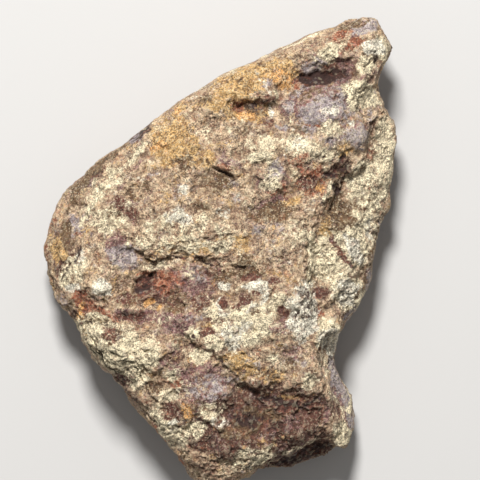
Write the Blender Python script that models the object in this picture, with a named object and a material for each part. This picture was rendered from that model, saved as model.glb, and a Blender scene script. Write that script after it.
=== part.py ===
"""A stony meteorite fragment, one solid, lying on its back with its broken face up.

The stone is drawn in the plane of its broken face, in millimetres: x to the right, y up
and z out of the face, with z = 0 where the worn back rests. The last step scales the
drawing to STONE_LENGTH, in metres, and sets the stone on the origin.
"""

import math

import bmesh
import bpy
import numpy as np
from mathutils import Vector, noise

# Driving dimensions, in metres
STONE_LENGTH = 0.0940
FACET_COUNT = 9400

# The drawing's own sizes, in millimetres
FACE_HEIGHT = 23.5
BACK_DEPTH = -1.2
MEAN_RADIUS = 40.0
MEAN_HALF_THICKNESS = 12.0
MEAN_EDGE_POWER = 3.2
BACK_DOME = (0.0016, 0.0010)
TUCK_HEIGHT = 7.0
WORN_SPREAD = 12.0
WORN_TUCK = 0.97
GROOVE_FADE = 2.0
MOUND_FLATNESS = 1.5
MOUND_FALL = 0.7
BALL_SUBDIVISIONS = 7
GRAIN = 0.62
WELD = 0.01

# The silhouette, clockwise from the blunt top corner
OUTLINE = (
    (30.7, 46.6), (32.0, 45.3), (32.6, 43.6), (34.8, 40.6), (34.6, 39.6), (32.7, 36.8),
    (31.6, 35.3), (31.5, 33.1), (32.1, 29.6), (33.6, 27.8), (35.6, 21.9), (35.0, 18.8),
    (34.9, 14.0), (34.2, 11.8), (34.3, 8.6), (32.8, 5.4), (30.9, -0.7), (29.2, -9.1),
    (25.2, -14.6), (23.4, -18.2), (23.1, -21.6), (23.3, -24.5), (25.1, -27.3),
    (26.6, -31.4), (26.8, -36.3), (25.4, -39.5), (24.4, -39.9), (22.9, -38.7),
    (22.3, -40.6), (20.6, -41.7), (17.1, -42.0), (13.6, -43.9), (9.3, -44.1),
    (4.2, -46.0), (0.2, -47.3), (-3.8, -47.0), (-6.2, -45.2), (-7.1, -42.8),
    (-11.7, -37.6), (-18.7, -29.3), (-19.2, -27.6), (-26.8, -19.6), (-28.0, -15.0),
    (-32.4, -10.3), (-34.9, -4.0), (-35.5, -1.1), (-34.4, 3.2), (-31.6, 10.4),
    (-24.2, 17.8), (-18.7, 21.4), (-8.7, 29.1), (0.2, 34.5), (6.9, 37.6), (15.0, 41.4),
    (27.1, 46.0),
)

# Round the edge: bearing in degrees, height of the rim, and how square the edge is
RIM = (
    (-180, 9.0, 2.6), (-160, 9.0, 3.2), (-140, 8.0, 4.4), (-110, 8.0, 4.6), (-85, 7.0, 5.4),
    (-60, 6.0, 6.0), (-45, 6.5, 5.4), (-25, 8.0, 3.6), (-10, 9.0, 2.8), (15, 10.0, 3.0),
    (35, 11.0, 3.6), (52, 12.5, 4.2), (75, 12.0, 5.0), (110, 12.5, 5.0), (135, 11.5, 3.6),
    (155, 10.0, 3.0),
)

# Broad planes that fall away from the face: a point on the crest, the bearing that it
# falls towards, its slope and how softly it turns over
SLOPES = (
    ("upper left bevel", (-18.5, 15.0), 141, 0.46, 0.6),
    ("left bevel", (-27.5, 0.0), 178, 0.45, 1.0),
    ("foot of the stone", (0.0, -25.0), -84, 0.24, 4.0),
    ("lower left fall", (-14.0, -28.0), -138, 0.16, 2.0),
    ("right shoulder", (22.5, 24.0), -6, 0.34, 2.0),
    ("top shoulder", (6.0, 33.5), 116, 0.26, 1.6),
)

# Scarps: each line runs with the high ground on its left. Then the drop, how wide the
# scarp's own face is, how far the drop reaches and how long it takes to fade in
SCARPS = (
    ("shelf scarp, upper", ((18.8, 5.2), (20.7, 8.2), (22.7, 10.7), (23.8, 13.2), (26.2, 15.2),
                            (28.8, 18.0), (29.4, 21.4), (30.2, 24.6), (32.4, 28.0)),
     2.9, 0.8, 60.0, 5.0),
    ("shelf scarp, lower", ((20.4, -17.6), (20.0, -16.0), (18.0, -11.2), (17.7, -6.8),
                            (17.5, -1.5), (18.2, 3.0), (19.4, 6.6)), 2.4, 0.8, 9.0, 3.0),
    ("side wall at the waist", ((26.6, -40.0), (25.7, -37.6), (24.7, -34.6), (23.4, -31.4),
                                (22.2, -28.6), (21.9, -27.0), (20.3, -24.4), (20.0, -19.8),
                                (20.8, -16.0)), 6.0, 2.6, 60.0, 2.0),
    ("middle terrace", ((-18.6, 2.4), (-16.7, 0.2), (-14.4, -0.9), (-9.9, -1.2), (-7.1, -0.2),
                        (-5.2, -0.6), (-3.6, -1.9), (1.3, -2.2), (6.0, -3.4)),
     1.7, 0.5, 8.0, 3.0),
    ("centre plateau", ((-7.2, -16.6), (-4.4, -19.2), (-0.6, -21.2), (1.6, -23.2),
                        (3.4, -26.2), (7.0, -27.4)), 1.7, 0.5, 7.0, 2.5),
    ("brow below the top edge", ((1.2, 29.2), (3.9, 29.8), (6.9, 29.2), (9.5, 29.4),
                                 (11.2, 30.8), (11.4, 33.8)), 1.7, 0.6, 4.4, 1.4),
    ("lifted flake", ((-1.9, 16.8), (0.2, 15.4), (3.6, 14.3)), 1.2, 0.3, 2.6, 0.7),
    ("left crust edge", ((-27.2, 9.0), (-28.4, 4.0), (-28.6, -0.8), (-29.8, -3.6),
                         (-31.4, -5.4), (-32.0, -7.6)), 1.0, 0.7, 5.0, 3.0),
    ("pale block, lower edge", ((-23.6, -23.4), (-20.0, -24.4), (-17.0, -24.0), (-14.0, -24.8)),
     1.5, 0.5, 3.6, 1.4),
    ("rusty lip", ((-18.2, -11.2), (-15.2, -10.7), (-12.9, -9.6), (-11.8, -7.8)),
     0.9, 0.4, 3.0, 1.2),
    ("upper brown step", ((3.0, -26.0), (7.0, -27.6), (10.4, -29.2), (14.4, -28.3),
                          (18.4, -29.6), (21.0, -28.2)), 1.3, 0.6, 6.0, 1.6),
    ("lower brown step", ((-1.4, -32.2), (3.2, -30.9), (7.6, -30.5), (11.6, -31.8),
                          (17.0, -32.6)), 0.9, 0.6, 5.0, 2.0),
    ("foot lip", ((5.0, -45.8), (8.8, -43.0), (11.4, -41.9), (14.4, -41.0), (16.0, -39.4),
                  (18.4, -38.2), (21.2, -37.8), (22.6, -38.3), (23.6, -39.4), (25.2, -41.0)),
     7.0, 0.5, 40.0, 1.6),
)

# Grooves: a line, its depth and its width
GROOVES = (
    ("bevel groove", ((-13.6, 21.0), (-17.0, 16.6), (-20.2, 12.2), (-23.2, 8.2)), 0.6, 0.7),
    ("crease over the pale block", ((-28.4, -15.0), (-25.0, -14.2), (-22.0, -15.2), (-19.0, -13.7),
                                    (-16.0, -13.6), (-13.4, -14.6)), 1.2, 0.9),
    ("foot valley", ((3.0, -34.4), (1.0, -36.4), (-2.4, -38.6), (-4.4, -42.0)), 0.9, 1.8),
    ("shelf groove", ((27.5, -2.5), (25.6, -7.5), (22.2, -11.4)), 0.5, 1.0),
)

# Lumps and hollows: centre, half sizes, turn in degrees, and height above the face
MOUNDS = (
    ("top edge swell", (3.5, 31.6), (9.0, 3.4), 24, 1.3),
    ("rib right of the swell", (11.6, 30.6), (1.3, 3.6), 8, 0.8),
    ("top right hollow", (19.6, 34.6), (6.2, 3.0), 22, -2.4),
    ("hollow's deep end", (23.6, 34.0), (2.4, 1.8), 0, -1.2),
    ("lilac plateau", (21.0, 29.0), (5.8, 3.6), 10, 0.9),
    ("corner boss", (31.0, 42.0), (3.8, 4.2), 30, 1.6),
    ("corner notch", (29.6, 36.9), (1.7, 1.3), -30, -1.8),
    ("corner bead", (28.0, 37.4), (1.8, 1.6), 0, 1.3),
    ("shoulder bead, upper", (28.6, 33.6), (2.0, 2.2), 0, 1.2),
    ("shoulder bead, lower", (30.0, 30.4), (2.4, 1.8), 15, 1.0),
    ("grey nodule", (27.8, 22.8), (2.4, 3.8), 8, 1.3),
    ("shoulder pit", (30.6, 26.0), (1.8, 1.4), 0, -0.9),
    ("upper trough", (19.6, 13.6), (8.4, 3.6), 28, -2.0),
    ("upper trough, tail", (10.0, 8.8), (6.0, 2.2), 20, -1.1),
    ("face crest", (6.0, 20.0), (10.0, 4.4), 10, 0.9),
    ("terrace swell", (-7.0, 6.0), (13.0, 5.0), 6, 0.8),
    ("rusty hollow", (-13.8, -5.6), (5.4, 3.0), 12, -1.7),
    ("hollow below the terrace", (-3.0, -6.0), (9.0, 4.0), -8, -0.9),
    ("pale plateau", (6.4, -12.8), (9.4, 7.4), 24, 1.0),
    ("plateau pit, left", (3.6, -9.4), (1.7, 1.1), 20, -0.9),
    ("plateau pit, right", (12.4, -12.3), (1.7, 1.4), 0, -1.0),
    ("left white boss", (-23.8, -7.0), (3.2, 2.4), -20, 0.9),
    ("pale block", (-19.4, -18.6), (7.4, 4.4), -24, 1.2),
    ("dark pit at the left foot", (-18.6, -26.4), (2.6, 1.6), -18, -1.5),
    ("shelf hollow", (19.9, -6.6), (2.2, 1.8), 20, -1.0),
    ("shelf swell", (25.0, -4.0), (3.6, 5.4), -22, 1.0),
    ("shelf bead", (23.2, -14.6), (2.2, 3.2), -10, 0.8),
    ("foot swell", (-1.0, -41.0), (6.0, 4.0), 20, 0.8),
    ("foot swell, right", (14.0, -35.6), (7.0, 2.4), 4, 0.6),
)

# The back, which the photograph doesn't show: shallow thumbprints in a worn, domed face
THUMBPRINTS = (
    ((-22.0, 2.0), (10.0, 8.0), 2.4), ((-12.0, -20.0), (9.0, 8.0), 2.8),
    ((14.0, 27.0), (12.0, 7.0), 2.6), ((24.0, 8.0), (7.0, 10.0), 2.2),
    ((10.0, -33.0), (9.0, 7.0), 2.6), ((-2.0, 20.0), (8.0, 6.0), 1.8),
    ((17.0, -14.0), (6.0, 7.0), 1.6),
)

# Crags: the size of the lumps, how far they stand out, and the seed of their pattern
CRAGS = ((13.0, 0.60, 11), (4.6, 0.40, 23), (2.4, 0.30, 37))

# Chips, the small broken planes: their size, how far they lean, and the seed
CHIPS = ((8.5, 1.5, 5), (4.2, 0.8, 8))
CHIP_BLEND = 0.16
CHIP_SHUFFLE = 7.0
ROUGHNESS_OF_SIDES = 0.45

CRUST_BROWN = (0.23, 0.16, 0.10, 1.0)
CRUST_ROUGHNESS = 0.85
CRUST_METALLIC = 0.0


def clear_scene():
    for old in list(bpy.data.objects):
        bpy.data.objects.remove(old)


def smooth_step(t):
    """0 below 0, 1 above 1 and an S between them."""
    t = np.clip(t, 0.0, 1.0)
    return t * t * (3.0 - 2.0 * t)


def rounded_outline(steps=6):
    """The outline as a dense closed line, a Catmull-Rom curve through its points."""
    corners = np.array(OUTLINE)
    before, after, beyond = (np.roll(corners, shift, axis=0) for shift in (1, -1, -2))
    spans = []
    for t in np.arange(steps) / steps:
        spans.append(0.5 * (2.0 * corners + (after - before) * t
                            + (2.0 * before - 5.0 * corners + 4.0 * after - beyond) * t ** 2
                            + (3.0 * corners - before - 3.0 * after + beyond) * t ** 3))
    return np.stack(spans, axis=1).reshape(-1, 2)


def edge_radius(bearing):
    """How far the silhouette lies from the middle of the face, along each bearing."""
    line = rounded_outline()
    angle = np.arctan2(line[:, 1], line[:, 0])
    order = np.argsort(angle)
    reach = np.hypot(line[:, 0], line[:, 1])
    return np.interp(bearing, angle[order], reach[order], period=2.0 * math.pi)


def worn_share(bearing):
    """The silhouette's share that is left on the back, where its corners are worn away."""
    turns = np.radians(np.linspace(-WORN_SPREAD, WORN_SPREAD, 7))
    around = np.mean([edge_radius(bearing + turn) for turn in turns], axis=0)
    return np.minimum(1.0, around / edge_radius(bearing)) * WORN_TUCK


def rim_at(bearing):
    """(height of the rim, squareness of the edge) along each bearing."""
    table = np.array(RIM)
    angle = np.radians(table[:, 0])
    return (np.interp(bearing, angle, table[:, 1], period=2.0 * math.pi),
            np.interp(bearing, angle, table[:, 2], period=2.0 * math.pi))


def share_of_radius(share_of_area):
    """Spreads points evenly over a rounded slab: from the share of the slab's surface inside
    a ring to that ring's share of the radius."""
    turn = np.linspace(0.0, math.pi / 2.0, 400)
    out = np.sin(turn) ** (2.0 / MEAN_EDGE_POWER)
    up = np.cos(turn) ** (2.0 / MEAN_EDGE_POWER)
    pieces = np.hypot(np.diff(out) * MEAN_RADIUS, np.diff(up) * MEAN_HALF_THICKNESS)
    area = np.concatenate([[0.0], np.cumsum(pieces * (out[1:] + out[:-1]))])
    return np.interp(share_of_area, area / area[-1], out)


def line_distance(x, y, line):
    """(distance to a line, 1 on its left and -1 on its right, place along it, its length)."""
    nearest = np.full(x.shape, np.inf)
    side = np.zeros(x.shape)
    along = np.zeros(x.shape)
    walked = 0.0
    for (ax, ay), (bx, by) in zip(line, line[1:]):
        run_x, run_y = bx - ax, by - ay
        length = math.hypot(run_x, run_y)
        t = np.clip(((x - ax) * run_x + (y - ay) * run_y) / length ** 2, 0.0, 1.0)
        away_x, away_y = x - ax - t * run_x, y - ay - t * run_y
        distance = np.hypot(away_x, away_y)
        closer = distance < nearest
        nearest = np.where(closer, distance, nearest)
        side = np.where(closer, np.sign(run_x * away_y - run_y * away_x), side)
        along = np.where(closer, walked + t * length, along)
        walked += length
    return nearest, side, along, walked


def scarp(x, y, line, drop, width, reach, fade):
    """A drop on a line's right. It is full at the scarp's foot and dies out over reach."""
    distance, side, along, length = line_distance(x, y, line)
    depth = smooth_step(0.5 - side * distance / width)
    ends = smooth_step(along / fade) * smooth_step((length - along) / fade)
    return -drop * depth * ends * np.exp(-(distance / reach) ** 2)


def groove(x, y, line, depth, width):
    distance, _, along, length = line_distance(x, y, line)
    ends = smooth_step(along / GROOVE_FADE) * smooth_step((length - along) / GROOVE_FADE)
    return -depth * ends * np.exp(-(distance / width) ** 2)


def mound(x, y, centre, half_sizes, turn, height):
    cos, sin = math.cos(math.radians(turn)), math.sin(math.radians(turn))
    dx, dy = x - centre[0], y - centre[1]
    across = (dx * cos + dy * sin) / half_sizes[0]
    up = (dy * cos - dx * sin) / half_sizes[1]
    return height * np.exp(-MOUND_FALL * (across ** 2 + up ** 2) ** MOUND_FLATNESS)


def slope(x, y, crest, bearing, gradient, softness):
    towards = math.radians(bearing)
    past = (x - crest[0]) * math.cos(towards) + (y - crest[1]) * math.sin(towards)
    return -gradient * softness * np.logaddexp(0.0, past / softness)


def face_height(x, y):
    """The broken face, which carries what the photograph shows."""
    height = np.full(x.shape, FACE_HEIGHT)
    for _, crest, bearing, gradient, softness in SLOPES:
        height += slope(x, y, crest, bearing, gradient, softness)
    for _, line, drop, width, reach, fade in SCARPS:
        height += scarp(x, y, line, drop, width, reach, fade)
    for _, line, depth, width in GROOVES:
        height += groove(x, y, line, depth, width)
    for _, centre, half_sizes, turn, rise in MOUNDS:
        height += mound(x, y, centre, half_sizes, turn, rise)
    return height


def back_height(x, y):
    """The worn back: a shallow dome with thumbprints, lowest in the middle."""
    height = BACK_DEPTH + BACK_DOME[0] * x * x + BACK_DOME[1] * y * y
    for centre, half_sizes, depth in THUMBPRINTS:
        height += mound(x, y, centre, half_sizes, 0.0, depth)
    return height


def lump_height(place):
    return noise.noise(place, noise_basis="PERLIN_NEW")


def chip_height(place):
    """The height of the leaning plane that a point is on, blended where two planes meet."""
    distances, centres = noise.voronoi(place)
    heights = []
    for centre in centres[:2]:
        lean = noise.cell_vector(centre * CHIP_SHUFFLE) - Vector((0.5, 0.5, 0.5))
        heights.append((place - centre).dot(lean))
    own = 0.5 + 0.5 * float(smooth_step((distances[1] - distances[0]) / CHIP_BLEND))
    return own * heights[0] + (1.0 - own) * heights[1]


def broken_height(point):
    """How far the broken surface stands out at a point: lumps of some sizes, and chips."""
    total = 0.0
    for layers, height in ((CRAGS, lump_height), (CHIPS, chip_height)):
        for size, amount, seed in layers:
            total += amount * height(point / size + Vector((seed, seed, seed)))
    return total


def shape_blank(mesh):
    """Moves the points of a unit ball onto the stone's slab, face and back."""
    ball = np.empty(len(mesh.vertices) * 3, np.float64)
    mesh.vertices.foreach_get("co", ball)
    ball = ball.reshape(-1, 3)
    ball /= np.linalg.norm(ball, axis=1)[:, None]
    bearing = np.arctan2(ball[:, 1], ball[:, 0])
    ring = share_of_radius(1.0 - np.abs(ball[:, 2]))
    radius = ring * edge_radius(bearing)
    x, y = radius * np.cos(bearing), radius * np.sin(bearing)
    rim, squareness = rim_at(bearing)
    crown = np.maximum(1.0 - ring ** squareness, 0.0) ** (1.0 / squareness)
    surface = np.where(ball[:, 2] > 0.0, face_height(x, y), back_height(x, y))
    z = rim + crown * (surface - rim)
    tuck = 1.0 - smooth_step((rim - z) / TUCK_HEIGHT) * (1.0 - worn_share(bearing))
    x, y = x * tuck, y * tuck
    mesh.vertices.foreach_set("co", np.stack([x, y, z], axis=1).astype(np.float32).ravel())
    mesh.update()


def apply_modifier(stone, kind, **settings):
    modifier = stone.modifiers.new(kind.title(), kind)
    for name, value in settings.items():
        setattr(modifier, name, value)
    bpy.context.view_layer.objects.active = stone
    bpy.ops.object.modifier_apply(modifier=modifier.name)


def roughen(mesh):
    """Pushes each point out or in along its normal, less on the sides than on the faces."""
    moved = []
    for vertex in mesh.vertices:
        share = ROUGHNESS_OF_SIDES + (1.0 - ROUGHNESS_OF_SIDES) * abs(vertex.normal.z)
        moved.append(vertex.co + vertex.normal * share * broken_height(vertex.co))
    for vertex, place in zip(mesh.vertices, moved):
        vertex.co = place
    mesh.update()


def cut_rest_face(mesh):
    """Cuts the lowest of the back off flat at z = 0, the face that the stone rests on."""
    shape = bmesh.new()
    shape.from_mesh(mesh)
    bmesh.ops.bisect_plane(shape, geom=shape.verts[:] + shape.edges[:] + shape.faces[:],
                           dist=WELD, plane_co=(0.0, 0.0, 0.0), plane_no=(0.0, 0.0, 1.0),
                           clear_inner=True)
    for vertex in shape.verts:
        if abs(vertex.co.z) <= WELD:
            vertex.co.z = 0.0
    open_edges = [edge for edge in shape.edges if edge.is_boundary]
    bmesh.ops.triangle_fill(shape, edges=open_edges, use_beauty=True,
                            normal=(0.0, 0.0, -1.0))
    bmesh.ops.recalc_face_normals(shape, faces=shape.faces)
    shape.to_mesh(mesh)
    shape.free()


def set_on_origin(mesh):
    """Scales the drawing to the real length and puts the origin under the middle."""
    points = np.empty(len(mesh.vertices) * 3, np.float32)
    mesh.vertices.foreach_get("co", points)
    points = points.reshape(-1, 3).astype(np.float64)
    low, high = points.min(axis=0), points.max(axis=0)
    middle = (low + high) / 2.0
    middle[2] = low[2]
    scale = STONE_LENGTH / (high[1] - low[1])
    mesh.vertices.foreach_set("co", ((points - middle) * scale).astype(np.float32).ravel())
    mesh.update()


def crust_material():
    material = bpy.data.materials.new("weathered_crust")
    material.use_nodes = True
    shader = material.node_tree.nodes["Principled BSDF"]
    shader.inputs["Base Color"].default_value = CRUST_BROWN
    shader.inputs["Roughness"].default_value = CRUST_ROUGHNESS
    shader.inputs["Metallic"].default_value = CRUST_METALLIC
    return material


def make_meteorite():
    bpy.ops.mesh.primitive_ico_sphere_add(subdivisions=BALL_SUBDIVISIONS, radius=1.0)
    stone = bpy.context.active_object
    stone.name = stone.data.name = "meteorite"
    shape_blank(stone.data)
    apply_modifier(stone, "REMESH", mode="VOXEL", voxel_size=GRAIN)
    roughen(stone.data)
    apply_modifier(stone, "TRIANGULATE")
    apply_modifier(stone, "DECIMATE", ratio=FACET_COUNT / len(stone.data.polygons))
    cut_rest_face(stone.data)
    set_on_origin(stone.data)
    stone.data.materials.clear()
    stone.data.materials.append(crust_material())
    return stone


clear_scene()
make_meteorite()
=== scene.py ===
"""The looks of the meteorite fragment: its fine broken relief, its weathered mineral
colours, and the table and light that it is shown on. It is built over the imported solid.

Places on the face are in millimetres, x to the right and y up, as seen from above.
"""

import math

import bpy
import numpy as np
from bpy.props import FloatProperty, FloatVectorProperty, PointerProperty
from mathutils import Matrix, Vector, noise


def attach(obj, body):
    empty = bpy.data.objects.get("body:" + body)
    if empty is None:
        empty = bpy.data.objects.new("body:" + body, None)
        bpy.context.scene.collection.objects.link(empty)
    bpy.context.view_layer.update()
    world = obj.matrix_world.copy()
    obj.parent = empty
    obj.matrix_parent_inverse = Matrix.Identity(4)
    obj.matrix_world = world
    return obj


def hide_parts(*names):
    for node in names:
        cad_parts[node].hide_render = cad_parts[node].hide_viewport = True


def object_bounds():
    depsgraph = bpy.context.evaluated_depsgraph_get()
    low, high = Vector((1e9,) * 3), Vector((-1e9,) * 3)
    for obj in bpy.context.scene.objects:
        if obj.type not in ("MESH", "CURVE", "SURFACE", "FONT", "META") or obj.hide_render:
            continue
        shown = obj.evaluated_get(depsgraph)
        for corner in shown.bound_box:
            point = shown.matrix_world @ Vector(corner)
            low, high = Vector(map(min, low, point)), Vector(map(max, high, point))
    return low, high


bl_info = {
    "name": "Meteorite fragment",
    "version": (1, 0, 0),
    "blender": (4, 5, 0),
    "location": "3D View > Sidebar > Meteorite",
    "description": "Dresses the packed fragment in its broken relief and weathered crust",
    "category": "Object",
}

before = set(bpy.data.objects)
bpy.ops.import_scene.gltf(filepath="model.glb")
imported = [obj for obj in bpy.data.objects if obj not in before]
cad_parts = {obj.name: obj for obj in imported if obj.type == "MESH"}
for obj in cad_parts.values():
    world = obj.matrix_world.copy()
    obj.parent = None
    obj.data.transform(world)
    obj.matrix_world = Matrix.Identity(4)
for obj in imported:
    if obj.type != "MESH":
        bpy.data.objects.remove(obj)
CAD_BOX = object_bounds()

MM = 0.001
NODE = "meteorite"
STONE = "meteorite_stone"
SLOT = "weathered_crust"

# Blender's vector noise is seeded by the clock, unless it is given a seed
NOISE_SEED = 1

# Where the middle of the face's own drawing lies, in millimetres from the stone's middle
FACE_MIDDLE = (-0.05, 0.35)

# The remeshed grid, in millimetres, the smoothing that melts the solid's facets, and the
# upward lean past which a face of the mesh is cut finer
GRID = 0.65
MELT_FACTOR = 0.5
MELT_STEPS = 5
FACE_LEAN = 0.28

# The ledges: how many the noise is cut into, how closely they lie across, where 1 is as
# closely as upward, and the share of a ledge that its riser takes
LEDGES = 3.2
LEDGE_STRETCH = 0.75
LEDGE_RISER = 0.22

# The break facets: how far noise bends their edges, as a share of their width, and the
# finer of the two sets, as shares of the first
FACET_BEND = 0.22
FINE_FACET_WIDTH = 0.45
FINE_FACET_HEIGHT = 0.6

# The vertex group that holds how rough each point is, its number of levels, and how much
# of the broken relief is left on the sides and along a worn edge
ROUGH_GROUP = "rough"
ROUGH_LEVELS = 20
ROUGH_ON_SIDES = 0.75
ROUGH_ON_WORN = 0.45

# The surface that the fine relief is measured from: its rounds of averaging, and the
# height over it that counts as full, in millimetres
RELIEF_STEPS = 5
RELIEF_HEIGHT = 0.12

# How far noise pushes the edges of what is cut and painted, in millimetres, and how far a
# finish's even share gives way where another finish has a patch
RAGGED = 0.9
GIVE_WAY = 0.85

# The height of the stone's rim and the middle of the picture in the face's drawing, and
# the width of the camera's sensor, all in millimetres
RIM_HEIGHT = 9.0
PICTURE_MIDDLE = (4.0, 2.0)
SENSOR_WIDTH = 36.0

# The table and the main light, in metres
TABLE_WIDTH = 6.0
KEY_PLACE = (-0.08, 0.54, 0.83)
KEY_AIM = (0.0, 0.0, 0.01)
KEY_WIDTH = 0.22

# An ellipse in the tables below is its centre's x and y, its half width and half height,
# its strength, and where it is turned, the angle in degrees. Names are only for reading.

# Edges that are worn smooth: the line, and how far the wear reaches
WORN_EDGES = (
    (((-34.5, 4), (-30, 11.6), (-22.4, 18.6), (-12, 26.6), (0, 34.6), (10, 39.4),
      (22, 44.6)), 3.6),
    (((35, 22), (35.2, 16), (34, 8), (30.6, -4), (26, -14.6)), 2.4),
    (((26.6, -37), (24.6, -30), (22.4, -24)), 2),
)

# Ellipses where the surface is smoother, and by how much
SMOOTH = (
    (20.4, 27.8, 4.6, 2.2, 0.5),
    (27.4, 22.6, 2.1, 3.1, 0.5, 8),
    (11, 15.6, 2, 2.6, 0.4),
    (2.3, 17.2, 3.2, 1.1, 0.6, -15),
    (-2.6, -26.6, 3.6, 2.6, 0.5),
    (16.4, 20.8, 4.2, 2, 0.4),
    (15.2, -25.6, 1.6, 0.9, 0.6),
    (28.8, 44, 2.6, 1.6, 0.5, 15),
    (-29.6, 2, 2.2, 2.6, 0.5, 20),
    (23.4, -29, 2.2, 6.5, 0.4, 15),
)

# Cracks and grooves: a name, the line, its depth and its half width
CRACKS = (
    ("under the lifted flake", ((-1.6, 16.4), (0.2, 15.6), (1.8, 14.9), (3.6, 13.9)), 1.5, 0.42),
    ("under the terrace, left", ((-17, -0.4), (-14.4, -1.6), (-11, -1.9)), 0.5, 0.5),
    ("under the terrace, middle", ((-11.6, -1.7), (-8, -1.4), (-5.2, -1.2)), 0.6, 0.4),
    ("under the terrace, right", ((-5.2, -1.1), (-3.4, -2.3), (0.8, -2.8)), 0.7, 0.4),
    ("bevel seam", ((-13.6, 20.6), (-17.2, 16.2), (-20.6, 11.8), (-23, 8.4)), 0.4, 0.35),
    ("fold, upper", ((-16.8, -7.2), (-14.6, -5), (-12.4, -4.6), (-10, -6.4)), 0.6, 0.5),
    ("fold, lower", ((-16.2, -10.6), (-13.6, -10.6), (-12.2, -9.4)), 0.8, 0.4),
    ("rusty crack", ((-28.8, -9.4), (-26, -10.8), (-22.6, -12.8), (-19.6, -13.8)), 0.7, 0.5),
    ("crease over the pale block", ((-27.6, -14.6), (-24, -14), (-20.8, -14.6)), 0.8, 0.4),
    ("foot of the centre scarp", ((-5.6, -16.8), (-4, -19), (-0.8, -21), (1.4, -22.9),
                                  (3.2, -26.2)), 0.3, 0.4),
    ("upper brown band", ((6, -28.2), (10.4, -29.8), (14.6, -29), (18.6, -30.2)), 0.7, 0.6),
    ("shelf groove", ((18.2, -8.6), (19.2, -11.8), (20.4, -14.6), (20, -17.4)), 0.6, 0.4),
    ("hollow's black streak", ((16.4, 34.2), (18, 34.4), (19.8, 35.4)), 0.8, 0.5),
    ("hollow's red streak", ((21.2, 34), (23.6, 34.2)), 0.7, 0.4),
    ("under the corner boss", ((29.2, 38.6), (30.8, 37.6), (31.8, 36.4)), 0.8, 0.5),
    ("thin crack by the nodule", ((24.4, 24.4), (27, 25.8), (28.6, 25.8)), 0.4, 0.3),
    ("edge of the nodule", ((29.2, 24.6), (29.6, 21.8), (28.6, 19.6), (26.4, 19.2)), 0.5, 0.4),
    ("under the plateau corner", ((25.6, 14.4), (23.4, 14.6), (20.8, 15.2)), 0.9, 0.6),
    ("short crack, upper left", ((-3.4, 25), (-2, 24.4), (-0.6, 24.8)), 0.4, 0.3),
    ("short crack, right of the flake", ((9.4, 17.8), (11, 16.6)), 0.4, 0.35),
)

# Raised lines: a name, the line, its height and its half width
RIDGES = (
    ("flake's lip", ((-1.4, 17.2), (0.6, 16.4), (2.4, 15.6), (4, 14.6)), 0.5, 0.5),
    ("shelf ridge", ((18.2, 3.6), (17.6, -1), (17.6, -6.2), (17.9, -10.6)), 0.9, 0.5),
    ("side wall ridge", ((20, -19), (20.8, -24), (22.2, -28), (24, -32), (25.2, -35.6)), 0.4, 0.6),
    ("foot lip", ((9, -42.6), (12, -41.4), (15.8, -39.2), (19.4, -37.6), (22.6, -37.8)),
     0.35, 0.6),
    ("edge pit's rim", ((-16.8, -27.2), (-15.2, -26), (-14.2, -24.8)), 0.5, 0.5),
    ("hollow's divider", ((10.8, 32.4), (11.2, 30.4), (11.6, 28.6)), 0.4, 0.5),
    ("fold's crest", ((-17.2, -6), (-14.8, -3.9), (-12, -3.6), (-9.4, -5), (-8.2, -7.6)),
     0.45, 0.6),
    ("orange flake", ((-15.6, -10), (-14, -9.4), (-12.8, -8.8)), 0.5, 0.4),
)

# Swellings, hollows, pits and grains: a name and an ellipse whose strength is the height
SPOTS = (
    ("pale block's edge", -20.8, -21.8, 7.6, 3.2, 2, -42),
    ("lower left edge", -13, -31.6, 7.4, 2.8, 1.3, -54),
    ("shelf's tail", 22.4, -16.4, 2.2, 3, 0.9),
    ("below the terrace", -9.4, -3.4, 11, 2.8, 1.3, -4),
    ("nodule", 27.4, 22.6, 1.9, 2.8, 0.7, 8),
    ("flake", 1.8, 17.2, 2.6, 0.9, 0.5, -18),
    ("smooth boss", 21.4, 11.8, 1.1, 1.6, 0.5),
    ("pit in the fold", -15.8, -7.9, 0.9, 0.9, -0.7),
    ("second pit in the fold", -13.6, -5.2, 0.9, 0.6, -0.7, 30),
    ("edge pit", -18.9, -25.9, 1.8, 1.3, -0.5, -20),
    ("plateau pit", 12.4, -12.7, 1.4, 1.3, -0.5),
    ("maroon pit", 6.4, -5.6, 1.9, 1.1, -0.5, 10),
    ("maroon pit, lower", 5.2, -10.1, 1.7, 1, -0.7, 20),
    ("maroon pit, left", 0.9, -10.9, 0.9, 1.2, -0.6),
    ("corner's black pit", 24.2, 18.4, 0.9, 0.7, -0.8),
    ("network's knot", 8, -7, 2.6, 1.2, 0.4, -20),
    ("tongue of the plateau", -1.3, -18.2, 1.8, 1.6, 0.5),
    ("white grain", 1.2, -7.4, 1.1, 0.9, 0.5),
    ("left white grain", -23.4, -7.4, 1.7, 1.1, 0.45, 10),
    ("orange grain", -6.8, -32.2, 0.9, 1.8, 0.45, 15),
    ("bead below the corner", 28.7, 36.6, 2, 2.1, 0.6),
    ("bead on the shoulder", 27.8, 32.2, 2.2, 1.4, 0.4),
    ("shelf hollow", 20.2, -8.5, 1.9, 1.1, -0.5, 10),
    ("scarp's black pit", -5.7, -17, 0.6, 0.8, -0.5),
    ("hollow's floor", 19, 34.2, 3.6, 1.7, -0.9, 10),
    ("under the brow", 7, 28.2, 4, 1.1, -0.8, 5),
    ("over the plateau corner", 22.8, 16.2, 2.6, 1.4, -0.6, 15),
    ("fold's hollow", -14.8, -6.8, 2.4, 1.3, -0.6, 20),
    ("pit under the hollow", 23, 12, 1.2, 1.2, -0.6),
)

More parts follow.
